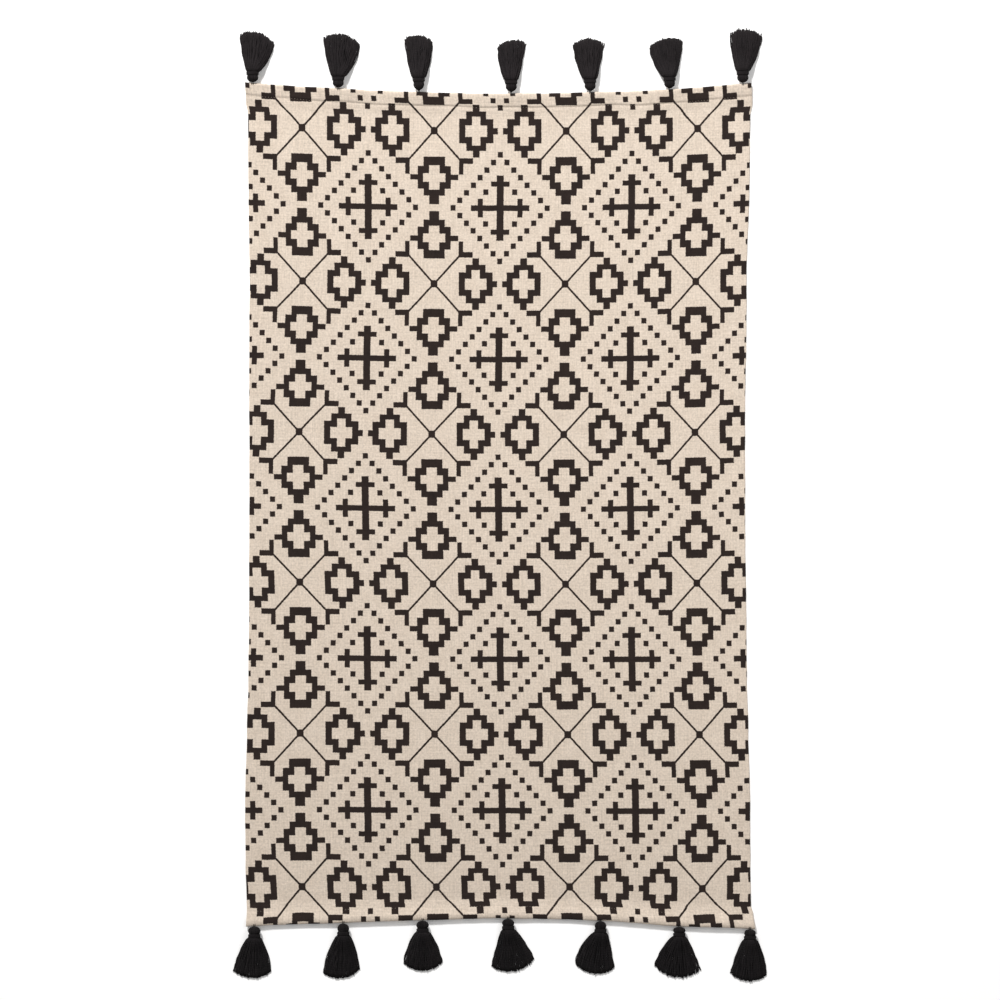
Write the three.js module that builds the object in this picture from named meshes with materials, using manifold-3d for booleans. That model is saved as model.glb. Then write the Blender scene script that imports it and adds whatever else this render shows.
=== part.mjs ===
// A flat-woven cotton rug, 90 by 150 cm, lying flat, with a turned hem at each end and seven yarn tassels
// tied to each hem. Millimetres, +Z up. The origin is the middle of the rug's underside, +Y runs along its
// length and +X across it.
import * as THREE from "three";
import { mergeVertices } from "three/addons/utils/BufferGeometryUtils.js";
import Module from "manifold-3d";

const wasm = await Module();
wasm.setup();

// Driving dimensions
const cloth = { width: 900, length: 1500, thickness: 3 };
const hem = { depth: 24, thickness: 7, step: 4 };
const edge = { sideRoll: 2, endRoll: 8, flat: 0.5 };
const gap = 0.3;

// How far the rug is from a true rectangle, in rows along its cut length y: half of its width there, how far
// the row's middle sways to the right, how far the row's sides lie ahead of its middle, and how far its
// right side lies ahead of the row.
const clothRows = [
  { y: -750, half: 459.6, sway: 3.2, bow: -16, lean: -4 },
  { y: -724, half: 456.8, sway: 1.8, bow: -12, lean: -4 },
  { y: -712, half: 455.2, sway: -0.3, bow: -10, lean: -4 },
  { y: -650, half: 455.6, sway: -1.9, bow: 1.6, lean: -3.4 },
  { y: -530, half: 455.8, sway: -2.6, bow: 1.6, lean: -3.2 },
  { y: -400, half: 452.5, sway: -2.3, bow: 1.6, lean: -2.9 },
  { y: -310, half: 449.8, sway: -2.5, bow: 3, lean: -2.7 },
  { y: -200, half: 448.8, sway: -2.5, bow: 5, lean: -2.5 },
  { y: 0, half: 447.4, sway: -3.2, bow: 8, lean: -2 },
  { y: 180, half: 447.6, sway: -3.3, bow: 9, lean: -1.7 },
  { y: 280, half: 448.6, sway: -2.3, bow: 9.4, lean: -1.5 },
  { y: 400, half: 448.6, sway: -1.7, bow: 9.7, lean: -1.3 },
  { y: 600, half: 452.7, sway: 0.1, bow: 9.7, lean: -1.1 },
  { y: 700, half: 453.3, sway: 0, bow: 9.7, lean: -1 },
  { y: 718, half: 457, sway: 0.3, bow: 12, lean: -0.5 },
  { y: 750, half: 457.1, sway: -1.3, bow: 20, lean: 0 },
];

// Where the mesh has its points: steps in from each edge of the cut cloth, and even spaces between them.
const acrossGrid = { steps: [0, edge.sideRoll, 25], spaces: 26 };
const alongGrid = { steps: [0, 2, edge.endRoll, 22, hem.depth + hem.step, 50, 75], spaces: 11 };

// A tassel: a looped head of yarn with a thread wound round its neck, and a skirt of locks in layers, lying
// on the floor. Lying down, its round parts are wider than they are high.
const head = {
  radius: 9.5,
  widest: 0.65,
  rings: [0.12, 0.36, 0.65],
  neckRadius: 8.3,
  neckLength: 7,
  tieRadius: 3,
  collar: 3,
  collarSlope: 1,
  sides: 10,
  wider: 1.15,
  lower: 0.95,
  axisHeight: 9.9,
};
const binding = { inner: 8.65, outer: 10.1, ridges: 3, groove: 0.7 };
const lock = { segments: 3, fill: 0.9, halfThickness: 2, droop: 0.4, uneven: 0.05, middleLonger: 0.06 };

// The layers of a skirt, from the floor up: number of locks, height from the neck's axis at the root, height
// of the middle of the lock above the floor at the tip, half of the layer's width at the root, and its share
// of the fan's spread.
const lockLayers = [
  { count: 6, rootHeight: -5, tipHeight: lock.halfThickness, rootHalf: 7.6, spread: 1 },
  { count: 6, rootHeight: 0, tipHeight: 6.4, rootHalf: 10.6, spread: 0.97 },
  { count: 5, rootHeight: 5, tipHeight: 10.8, rootHalf: 7.6, spread: 0.82 },
];

// Each tassel: its place across the hem, how far the hem is pulled out there, the lengths of its tie and its
// head, how full and how pointed the head is, how far its locks fan towards -X and +X from straight out in
// degrees, its skirt's length and how much longer that is towards +X, and how bell-shaped each side is.
function tasselRow(at, pull, tie, headLength, full, point, ...skirtColumns) {
  const [left, right, skirt, longer, bellLeft, bellRight] = skirtColumns;
  return { at, pull, tie, headLength, full, point, left, right, skirt, longer, bellLeft, bellRight };
}
const backTassels = [
  tasselRow(-436, 3, 1, 12, 0.95, 0.5, 19, 38, 66, -0.08, 0.71, 0.77),
  tasselRow(-284, 4.2, 1, 12, 0.92, 0.5, 21, 34, 72, -0.05, 0.8, 0.7),
  tasselRow(-141, 3.6, 1.5, 16, 0.9, 0.9, 20, 20, 72, -0.03, 0.54, 0.95),
  tasselRow(23, 2.9, 1.5, 14, 0.92, 0.9, 23, 21, 68, 0.06, 0.93, 0.25),
  tasselRow(163, 2.4, 1.2, 14, 0.92, 0.8, 25, 21, 69, -0.01, 0.86, 0.49),
  tasselRow(304, 1.1, 1, 13, 0.9, 0.7, 34, 21, 66, 0.04, 0.71, 0.66),
  tasselRow(434, 2.2, 1.1, 13, 0.94, 0.5, 17, 29, 71, 0, 0.82, 0.63),
];
const frontTassels = [
  tasselRow(-435, 0, 0.6, 13, 1.04, 0.38, 32, 26, 69, -0.02, 0.54, 0.67),
  tasselRow(-278, 2, 0.8, 14, 0.98, 0.38, 28, 25, 73, -0.07, 0.69, 0.72),
  tasselRow(-138, 0.5, 0.6, 13, 1.04, 0.38, 31, 33, 66, -0.01, 0.61, 0.61),
  tasselRow(13, -2.8, 0.6, 12, 1.02, 0.38, 25, 43, 72, -0.02, 0.2, 0.26),
  tasselRow(176, -2.4, 0.6, 13, 0.98, 0.38, 38, 21, 71, -0.02, 0.91, 0.48),
  tasselRow(315, 1.2, 0.6, 10, 1.04, 0.38, 41, 33, 70, 0.03, 0.53, 0.31),
  tasselRow(440, -3, 0.6, 11, 0.98, 0.38, 29, 25, 71, 0.01, 0.37, 0.95),
];

// How far in from the hem the tassels' pull reaches, and how the hem lifts off the floor where their thick
// heads hold it up.
const pullReach = 160;
const lift = { back: { height: 3, halfSpan: 60 }, front: { height: 5.2, halfSpan: 130 }, reach: 45 };

const cottonPrint = new THREE.MeshStandardMaterial({ color: 0xe0d0bd, roughness: 0.95, metalness: 0 });
const blackYarn = new THREE.MeshStandardMaterial({ color: 0x1d1b1c, roughness: 0.9, metalness: 0 });
const bindingThread = new THREE.MeshStandardMaterial({ color: 0x262425, roughness: 0.8, metalness: 0 });

const { clamp, lerp, smoothstep, degToRad } = THREE.MathUtils;

// The value of a column of clothRows at y, eased from row to row.
function atRow(y, column) {
  const next = clamp(clothRows.findIndex((row) => row.y >= y), 1, clothRows.length - 1);
  const low = clothRows[next - 1];
  const high = clothRows[next];
  return lerp(low[column], high[column], smoothstep(y, low.y, high.y));
}

// How far the tassels pull the hem outwards at u, eased from one tassel to the next.
function pullAt(u, tassels) {
  const next = clamp(tassels.filter(({ at }) => at < u).length, 1, tassels.length - 1);
  const low = tassels[next - 1];
  const high = tassels[next];
  return lerp(low.pull, high.pull, smoothstep(u, low.at, high.at));
}

// Where a point of the cut cloth lies on the floor, u across and v along from its middle.
function placeOnFloor(u, v) {
  const across = u / (cloth.width / 2);
  const x = atRow(v, "sway") + across * atRow(v, "half");
  const bent = v + atRow(v, "bow") * (across * across - 1 / 3) + atRow(v, "lean") * across;
  const halfLength = cloth.length / 2;
  const nearEnd = Math.sign(v) * smoothstep(Math.abs(v), halfLength - pullReach, halfLength);
  return { x, y: bent + nearEnd * pullAt(u, v > 0 ? backTassels : frontTassels) };
}

// How high the underside lies: a low rise of limited width at each tassel, and 0 everywhere else.
function undersideHeight(u, v) {
  const tassels = v > 0 ? backTassels : frontTassels;
  const { height, halfSpan } = v > 0 ? lift.back : lift.front;
  const halfLength = cloth.length / 2;
  const outward = smoothstep(Math.abs(v), halfLength - lift.reach, halfLength);
  return tassels.reduce((sum, { at }) => {
    const off = Math.min(1, Math.abs(u - at) / halfSpan);
    return sum + height * outward * (1 - off * off) ** 2;
  }, 0);
}

// The rug's thickness, doubled by the hem's turned layer at each end.
function thicknessAt(v) {
  const hemStart = cloth.length / 2 - hem.depth;
  const share = smoothstep(Math.abs(v), hemStart - hem.step, hemStart);
  return lerp(cloth.thickness, hem.thickness, share);
}

// Positions along a length, centred on 0: the grid's steps in from each end, and even spaces between them.
function stations(length, { steps, spaces }) {
  const low = steps.map((step) => step - length / 2);
  const start = low[low.length - 1];
  const inner = Array.from({ length: spaces - 1 }, (_, i) => start + ((i + 1) * -2 * start) / spaces);
  return [...low, ...inner, ...low.map((place) => -place).reverse()];
}

// Moves each point of a geometry, in place.
function reshape(geometry, move) {
  const position = geometry.getAttribute("position");
  const point = new THREE.Vector3();
  for (let i = 0; i < position.count; i += 1) {
    point.fromBufferAttribute(position, i);
    move(point);
    position.setXYZ(i, point.x, point.y, point.z);
  }
  return geometry;
}

// The cloth: a box in a grid, laid into the rug's outline, with its thickness, rolled edges and lifted hems.
function clothGeometry() {
  const us = stations(cloth.width, acrossGrid);
  const vs = stations(cloth.length, alongGrid);
  const box = new THREE.BoxGeometry(1, 1, 2, us.length - 1, vs.length - 1, 1);
  return reshape(box, (point) => {
    const u = us[Math.round((point.x + 0.5) * (us.length - 1))];
    const v = vs[Math.round((point.y + 0.5) * (vs.length - 1))];
    const sideShare = (cloth.width / 2 - Math.abs(u)) / edge.sideRoll;
    const endShare = (cloth.length / 2 - Math.abs(v)) / edge.endRoll;
    const rounding = lerp(edge.flat, 1, smoothstep(Math.min(sideShare, endShare), 0, 1));
    const half = thicknessAt(v) / 2;
    const { x, y } = placeOnFloor(u, v);
    point.set(x, y, undersideHeight(u, v) + half + point.z * half * rounding);
  });
}

// A closed geometry as a solid for joining.
function solidOf(geometry) {
  const bare = geometry.clone().deleteAttribute("normal").deleteAttribute("uv");
  const merged = mergeVertices(bare, 1e-4);
  const vertProperties = merged.getAttribute("position").array;
  const triVerts = new Uint32Array(merged.getIndex().array);
  return new wasm.Manifold(new wasm.Mesh({ numProp: 3, vertProperties, triVerts }));
}

// A solid back as a geometry with flat faces.
function geometryOf(solid) {
  const { vertProperties, triVerts } = solid.getMesh();
  const geometry = new THREE.BufferGeometry();
  geometry.setAttribute("position", new THREE.BufferAttribute(new Float32Array(vertProperties), 3));
  geometry.setIndex(new THREE.BufferAttribute(new Uint32Array(triVerts), 1));
  const faceted = geometry.toNonIndexed();
  faceted.computeVertexNormals();
  return faceted;
}

// A profile turned round the tassel's axis, which runs outwards along +Y at the head's height.
function turned(profile) {
  const points = profile.map(([radius, along]) => new THREE.Vector2(radius, along));
  const lathe = new THREE.LatheGeometry(points, head.sides, Math.PI / head.sides);
  return lathe.scale(head.wider, 1, head.lower).translate(0, 0, head.axisHeight);
}

// The head, from the tie at the hem over its ball to the neck and the collar that the locks grow from. The
// ball's radius at a share of its length is that of an ellipse, raised to the tassel's own power.
function headGeometry({ tie, headLength, full, point }) {
  const neckStart = tie + headLength;
  const neckEnd = neckStart + head.neckLength;
  const ball = head.rings.map((share) => {
    const rise = (1 - (1 - share / head.widest) ** 2) ** point;
    return [head.radius * full * rise, tie + share * headLength];
  });
  return turned([
    [0, gap],
    [head.tieRadius, gap],
    [head.tieRadius, tie],
    ...ball,
    [head.neckRadius, neckStart],
    [head.neckRadius, neckEnd],
    [head.radius, neckEnd + head.collarSlope],
    [head.radius, neckEnd + head.collar],
    [0, neckEnd + head.collar],
  ]);
}

// The thread wound round the neck: a ring with a ridge for each turn that shows.
function bindingGeometry({ tie, headLength }) {
  const start = tie + headLength + gap;
  const end = start + head.neckLength - 2 * gap;
  const turn = (end - start) / binding.ridges;
  const valley = binding.outer - binding.groove;
  const outside = [];
  for (let i = 0; i < binding.ridges; i += 1) {
    outside.push([valley, start + i * turn]);
    outside.push([binding.outer, start + (i + 0.5) * turn]);
  }
  outside.push([valley, end]);
  return turned([...outside, [binding.inner, end], [binding.inner, start], outside[0]]);
}

// A number from -1 to 1 for each lock in turn, which looks random and is the same each time.
const golden = 0.618034;
let locksMade = 0;
function nextUnevenness() {
  locksMade += 1;
  return 2 * ((locksMade * golden) % 1) - 1;
}

// One lock of yarn: a four-sided strand that widens from the collar to its tip and drops to the height of
// its layer.
function lockGeometry(tassel, layer, index) {
  const share = (2 * index + 1) / layer.count - 1;
  const middle = (tassel.right - tassel.left) / 2;
  const fan = ((tassel.right + tassel.left) / 2) * layer.spread;
  const angle = degToRad(middle + share * fan);
  const bell = lerp(tassel.bellLeft, tassel.bellRight, (1 + share) / 2);
  const rounded = 1 + lock.middleLonger * (1 - share * share) + tassel.longer * share;
  const length = tassel.skirt * (rounded + lock.uneven * nextUnevenness());
  const start = tassel.tie + tassel.headLength + head.neckLength + head.collar / 2;
  const tipHalf = (tassel.skirt * degToRad(fan)) / layer.count;
  const rootHalf = layer.rootHalf / layer.count;
  const box = new THREE.BoxGeometry(2, 1, 2, 1, lock.segments, 1).translate(0, 0.5, 0);
  return reshape(box, (point) => {
    const along = point.y;
    const spread = along + bell * along * (1 - along);
    const half = lock.fill * lerp(rootHalf, tipHalf, spread);
    const turn = angle * along;
    const rootHeight = head.axisHeight + layer.rootHeight;
    const height = lerp(rootHeight, layer.tipHeight, smoothstep(along, 0, lock.droop));
    const x = lerp(share * layer.rootHalf, Math.sin(angle) * length, spread);
    const y = start + Math.cos(angle) * length * along;
    const side = point.x * half;
    point.set(x + side * Math.cos(turn), y - side * Math.sin(turn), height + point.z * lock.halfThickness);
  });
}

// A tassel's head and skirt in one solid.
function tasselGeometry(tassel) {
  let solid = solidOf(headGeometry(tassel));
  lockLayers.forEach((layer) => {
    for (let i = 0; i < layer.count; i += 1) {
      solid = solid.add(solidOf(lockGeometry(tassel, layer, i)));
    }
  });
  return geometryOf(solid);
}

function addMesh(parent, name, geometry, material) {
  const mesh = new THREE.Mesh(geometry, material);
  mesh.name = name;
  parent.add(mesh);
}

// A tassel and its binding, just off the hem's edge and turned the way the hem faces.
function tasselGroup(tassel, name, atBack) {
  const group = new THREE.Group();
  const { x, y } = placeOnFloor(tassel.at, atBack ? cloth.length / 2 : -cloth.length / 2);
  group.position.set(x, y, 0);
  group.rotation.z = atBack ? 0 : Math.PI;
  // A half turn swaps the sides, so the front tassels fan the other way in their own frame.
  const { left, right, longer, bellLeft, bellRight } = tassel;
  const swapped = { left: right, right: left, longer: -longer, bellLeft: bellRight, bellRight: bellLeft };
  const facing = atBack ? tassel : { ...tassel, ...swapped };
  addMesh(group, `tassel_${name}`, tasselGeometry(facing), blackYarn);
  addMesh(group, `binding_${name}`, bindingGeometry(tassel), bindingThread);
  return group;
}

const rug = new THREE.Group();
addMesh(rug, "rug_cloth", clothGeometry(), cottonPrint);
backTassels.forEach((tassel, i) => rug.add(tasselGroup(tassel, `back_${i + 1}`, true)));
frontTassels.forEach((tassel, i) => rug.add(tasselGroup(tassel, `front_${i + 1}`, false)));

export default rug;
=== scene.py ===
import math

import bpy
import numpy as np
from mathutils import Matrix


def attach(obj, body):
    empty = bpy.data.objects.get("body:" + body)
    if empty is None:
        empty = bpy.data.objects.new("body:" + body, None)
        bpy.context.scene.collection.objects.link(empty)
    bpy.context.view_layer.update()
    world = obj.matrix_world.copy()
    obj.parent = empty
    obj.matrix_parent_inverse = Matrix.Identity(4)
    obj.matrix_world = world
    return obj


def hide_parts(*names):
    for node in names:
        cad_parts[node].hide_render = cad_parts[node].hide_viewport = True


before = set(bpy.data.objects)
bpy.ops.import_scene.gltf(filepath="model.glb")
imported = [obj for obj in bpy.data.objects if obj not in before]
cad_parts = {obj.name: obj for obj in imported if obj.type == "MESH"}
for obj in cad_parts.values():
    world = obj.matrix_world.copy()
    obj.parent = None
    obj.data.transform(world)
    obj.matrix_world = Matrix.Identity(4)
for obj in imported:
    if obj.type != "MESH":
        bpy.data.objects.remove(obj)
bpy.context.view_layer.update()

# A flat-woven cotton rug, with a turned hem and seven yarn tassels at each end, face up on a pale floor.
# Sizes are in millimetres where no note says otherwise, and mm turns them into Blender's metres.
mm = 0.001


def hexColour(code):  # sRGB hex to the linear colour that the shaders take
    parts = [int(code[i:i + 2], 16) / 255 for i in (1, 3, 5)]
    linear = [c / 12.92 if c <= 0.04045 else ((c + 0.055) / 1.055) ** 2.4 for c in parts]
    return (*linear, 1.0)


def addNode(tree, kind, settings=None, inputs=None):
    # A node with its settings, and with a link or a value for each input that is named.
    node = tree.nodes.new(kind)
    for name, value in (settings or {}).items():
        setattr(node, name, value)
    for name, value in (inputs or {}).items():
        if isinstance(value, bpy.types.NodeSocket):
            tree.links.new(value, node.inputs[name])
        else:
            node.inputs[name].default_value = value
    return node


def newMaterial(name):  # an empty material with its tree and its output node
    material = bpy.data.materials.new(name)
    material.use_nodes = True
    material.node_tree.nodes.clear()
    return material, material.node_tree, addNode(material.node_tree, "ShaderNodeOutputMaterial")


def ease(x, low, high):  # 3t² - 2t³, with t running from 0 at low to 1 at high
    t = np.clip((x - low) / (high - low), 0, 1)
    return t * t * (3 - 2 * t)


def ripple(s, lengths, seed):  # sines of the given wavelengths with seeded starts, added up, about -1 to 1
    starts = np.random.default_rng(seed).uniform(0, 2 * np.pi, len(lengths))
    waves = (np.sin(2 * np.pi * s / length + start) for length, start in zip(lengths, starts))
    return sum(waves) / len(lengths)


def asPart(points, faces, corners, tone=0.5):
    # What makePiece puts together: corners holds the map at each face's corners, tone a number per point.
    return {"points": points.reshape(-1, 3), "faces": faces, "corners": corners,
            "tone": np.broadcast_to(tone, points.shape[:-1]).ravel()}


def makePiece(name, parts, material, mapName, replaced=()):
    # Joins parts into one mesh in metres, and lets it ride on the rug in place of the replaced solids.
    starts = np.cumsum([0] + [len(part["points"]) for part in parts])
    faces = [[i + int(start) for i in face] for part, start in zip(parts, starts) for face in part["faces"]]
    mesh = bpy.data.meshes.new(name)
    mesh.from_pydata((np.vstack([part["points"] for part in parts]) * mm).tolist(), [], faces)
    uvMap = mesh.uv_layers.new(name=mapName)
    corners = np.vstack([part["corners"] for part in parts])
    uvMap.uv.foreach_set("vector", corners.astype(np.float32).ravel())
    tone = mesh.attributes.new("tone", "FLOAT", "POINT")
    tone.data.foreach_set("value", np.concatenate([part["tone"] for part in parts]).astype(np.float32))
    mesh.shade_smooth()
    mesh.materials.append(material)
    piece = bpy.data.objects.new(name, mesh)
    bpy.context.scene.collection.objects.link(piece)
    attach(piece, "root")
    if replaced:
        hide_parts(*replaced)
    return piece


def tubes(path, radius, across, sides, tone=0.5):
    # Closed round tubes, one for each row of path. Each point is its place on the path, plus the radius
    # times (cos a · across + sin a · up), where up is square to the path and to across, and a goes once
    # round.
    count, rings, _ = path.shape
    along = np.gradient(path, axis=1)
    along /= np.linalg.norm(along, axis=2, keepdims=True)
    across = np.broadcast_to(across, path.shape)
    up = np.cross(along, across)
    up /= np.linalg.norm(up, axis=2, keepdims=True)
    across = np.cross(up, along)
    turn = np.arange(sides) * 2 * np.pi / sides
    radius = np.broadcast_to(radius, (count, rings))
    out = across[:, :, None] * np.cos(turn)[:, None] + up[:, :, None] * np.sin(turn)[:, None]
    skin = path[:, :, None] + radius[:, :, None, None] * out
    points = np.concatenate([skin.reshape(count, -1, 3), path[:, :1], path[:, -1:]], axis=1)
    # The faces of one tube: a square for each step along and round, and a fan of triangles at each end.
    ring, side = (x.ravel() for x in np.meshgrid(np.arange(rings - 1), np.arange(sides), indexing="ij"))
    after = (side + 1) % sides
    squares = np.stack([ring * sides + side, ring * sides + after,
                        (ring + 1) * sides + after, (ring + 1) * sides + side], 1)
    edge, follow = np.arange(sides), (np.arange(sides) + 1) % sides
    first, last = rings * sides, (rings - 1) * sides
    fans = np.vstack([np.stack([np.full(sides, first), follow, edge], 1),
                      np.stack([np.full(sides, first + 1), last + edge, last + follow], 1)])
    # The map holds the turn round the tube from 0 to 1, and the distance along it in millimetres.
    steps = np.linalg.norm(np.diff(path, axis=1), axis=2)
    far = np.concatenate([np.zeros((count, 1)), np.cumsum(steps, axis=1)], axis=1)
    around = np.stack([side, side + 1, side + 1, side], 1) / sides
    farAlong = far[:, np.stack([ring, ring, ring + 1, ring + 1], 1)]
    squareMap = np.stack([np.broadcast_to(around, farAlong.shape), farAlong], 3).reshape(count, -1, 2)
    fanMap = np.zeros((count, 6 * sides, 2)) + 0.5
    fanMap[:, 3 * sides:, 1] += far[:, -1:]
    perTube = rings * sides + 2
    faces = []
    for tube in range(count):
        faces += (squares + tube * perTube).tolist()
        faces += (fans + tube * perTube).tolist()
    corners = np.concatenate([squareMap, fanMap], axis=1).reshape(-1, 2)
    tone = np.broadcast_to(np.reshape(tone, (-1, 1)), (count, perTube))
    return asPart(points, faces, corners, tone)


# The cut cloth and how it lies. clothRows says how far the rug is from a true rectangle at each cut
# length y: half of its width there, the sway of the row's middle to the right, how far the sides lie
# ahead of the middle, and how far the right side lies ahead of the row.
clothRows = {
    "y": (-750, -724, -712, -650, -530, -400, -310, -200, 0, 180, 280, 400, 600, 700, 718, 750),
    "half": (459.6, 456.8, 455.2, 455.6, 455.8, 452.5, 449.8, 448.8,
             447.4, 447.6, 448.6, 448.6, 452.7, 453.3, 457, 457.1),
    "sway": (3.2, 1.8, -0.3, -1.9, -2.6, -2.3, -2.5, -2.5, -3.2, -3.3, -2.3, -1.7, 0.1, 0, 0.3, -1.3),
    "bow": (-16, -12, -10, 1.6, 1.6, 1.6, 3, 5, 8, 9, 9.4, 9.7, 9.7, 9.7, 12, 20),
    "lean": (-4, -4, -4, -3.4, -3.2, -2.9, -2.7, -2.5, -2, -1.7, -1.5, -1.3, -1.1, -1, -0.5, 0),
}
cloth = {
    "width": 900, "length": 1500, "thickness": 3.0, "spacing": 6.2, "edgeHeight": 0.4,
    "sideRim": 1.5, "backRim": 3.5, "frontRim": 11.0, "endRimUnder": 3.0,
    "hemDepth": 24, "foldMargin": 2, "pullReach": 160,
    "hemSlope": 1.2, "hemStep": 1.6, "footDrop": 1.4, "footEnd": 42, "frontShare": 0.6,
    "stepBack": (19.5, 25.5), "stepFront": (15, 30),
    "seamDepth": 23.5, "seamWidth": 1.9, "troughBack": 0.5, "troughFront": 0.15,
    "seamBow": 8.0, "seamWave": 1.3, "seamWaves": (260, 150, 95), "shiftFades": (29, 82),
    "pucker": 0.45, "puckerReach": 15, "gathersBack": (34, 23, 17), "gathersFront": (37, 25, 16),
    "unevenness": 0.3, "slowAcross": (330, 190, 120), "slowAlong": (410, 230, 140),
    "slowSlant": (0.35, -0.2),
    "sideWave": 0.5, "wavesLeft": (290, 150, 91, 43), "wavesRight": (310, 170, 83, 47), "sideFade": 12,
    "endWave": 0.5, "wavesFront": (210, 120, 67, 31), "wavesBack": (230, 110, 61, 35), "endFade": 24,
    "liftBack": 3.0, "liftFront": 4.6, "spanBack": 60, "spanFront": 130, "liftReach": 38,
    "nearSide": (0, 0.12, 0.45, 0.95, 1.5, 3, 5),
    "nearEnd": (0, 0.1, 0.4, 0.9, 1.7, 2.8, 4.2, 6, 8, 11, 14, 17, 19.5,
                21, 22, 22.9, 23.5, 24.1, 25, 26.5, 29, 32, 35, 38, 41),
}

# Each tassel: its place across the hem, how far the hem is pulled out there, the length of its tie and of
# its head, how full and how pointed the head is, how far its strands fan towards -X and +X from straight
# out in degrees, the skirt's length and how much longer it is towards +X, and how bell-shaped each side of
# it is.
tasselColumns = ("at", "pull", "tie", "head", "full", "point",
                 "left", "right", "skirt", "longer", "bellLeft", "bellRight")
tasselRows = {
    "back": [
        (-436, 3.0, 1.0, 12, 0.95, 0.5, 19, 38, 66, -0.08, 0.71, 0.77),
        (-284, 4.2, 1.0, 12, 0.92, 0.5, 21, 34, 72, -0.05, 0.80, 0.70),
        (-141, 3.6, 1.5, 16, 0.90, 0.9, 20, 20, 72, -0.03, 0.54, 0.95),
        (23, 2.9, 1.5, 14, 0.92, 0.9, 23, 21, 68, 0.06, 0.93, 0.25),
        (163, 2.4, 1.2, 14, 0.92, 0.8, 25, 21, 69, -0.01, 0.86, 0.49),
        (304, 1.1, 1.0, 13, 0.90, 0.7, 34, 21, 66, 0.04, 0.71, 0.66),
        (434, 2.2, 1.1, 13, 0.94, 0.5, 17, 29, 71, 0.0, 0.82, 0.63),
    ],
    "front": [
        (-435, 0.0, 0.6, 13, 1.04, 0.38, 32, 26, 69, -0.02, 0.54, 0.67),
        (-278, 2.0, 0.8, 14, 0.98, 0.38, 28, 25, 73, -0.07, 0.69, 0.72),
        (-138, 0.5, 0.6, 13, 1.04, 0.38, 31, 33, 66, -0.01, 0.61, 0.61),
        (13, -2.8, 0.6, 12, 1.02, 0.38, 25, 43, 72, -0.02, 0.20, 0.26),
        (176, -2.4, 0.6, 13, 0.98, 0.38, 38, 21, 71, -0.02, 0.91, 0.48),
        (315, 1.2, 0.6, 10, 1.04, 0.38, 41, 33, 70, 0.03, 0.53, 0.31),
        (440, -3.0, 0.6, 11, 0.98, 0.38, 29, 25, 71, 0.01, 0.37, 0.95),
    ],
}
tassels = {end: [dict(zip(tasselColumns, row)) for row in rows] for end, rows in tasselRows.items()}


def atRow(v, column, table):  # a column of the table at cut length v, eased from row to row
    rows, values = np.array(table["y"]), np.array(table[column], float)
    high = np.clip(np.searchsorted(rows, v), 1, len(rows) - 1)
    share = ease(v, rows[high - 1], rows[high])
    return values[high - 1] + (values[high] - values[high - 1]) * share


def placeOnFloor(u, v):
    # Where a point of the cut cloth lies: x = sway + across · half width, and
    # y = v + bow · (across² - 1/3) + lean · across, where across runs from -1 to 1.
    across = u / (cloth["width"] / 2)
    x = atRow(v, "sway", clothRows) + across * atRow(v, "half", clothRows)
    y = v + atRow(v, "bow", clothRows) * (across ** 2 - 1 / 3) + atRow(v, "lean", clothRows) * across
    # Near the ends the tassels pull the hem outwards, eased from one tassel to the next.
    for end, sign in (("back", 1), ("front", -1)):
        at = np.array([tassel["at"] for tassel in tassels[end]], float)
        pull = np.array([tassel["pull"] for tassel in tassels[end]])
        high = np.clip(np.searchsorted(at, u), 1, len(at) - 1)
        pulled = pull[high - 1] + (pull[high] - pull[high - 1]) * ease(u, at[high - 1], at[high])
        endAt = cloth["length"] / 2
        y = y + sign * pulled * ease(sign * v, endAt - cloth["pullReach"], endAt)
    return x, y


def wavyPlace(u, v):  # placeOnFloor, with slight waves along the sides and the ends that fade inwards
    x, y = placeOnFloor(u, v)
    across, along = u / (cloth["width"] / 2), v / (cloth["length"] / 2)
    sideWave = np.where(u > 0, ripple(v, cloth["wavesRight"], 3), ripple(v, cloth["wavesLeft"], 4))
    endWave = np.where(v > 0, ripple(u, cloth["wavesBack"], 5), ripple(u, cloth["wavesFront"], 6))
    return (x + cloth["sideWave"] * sideWave * across ** cloth["sideFade"],
            y + cloth["endWave"] * endWave * along ** cloth["endFade"])


def hemDeeper(u, v):  # how much deeper the back hem is turned: bow · (1/2 - across²), and a slight wave
    across = u / (cloth["width"] / 2)
    deeper = cloth["seamBow"] * (0.5 - across ** 2) + cloth["seamWave"] * ripple(u, cloth["seamWaves"], 11)
    return np.where(v > 0, deeper, 0)


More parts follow.
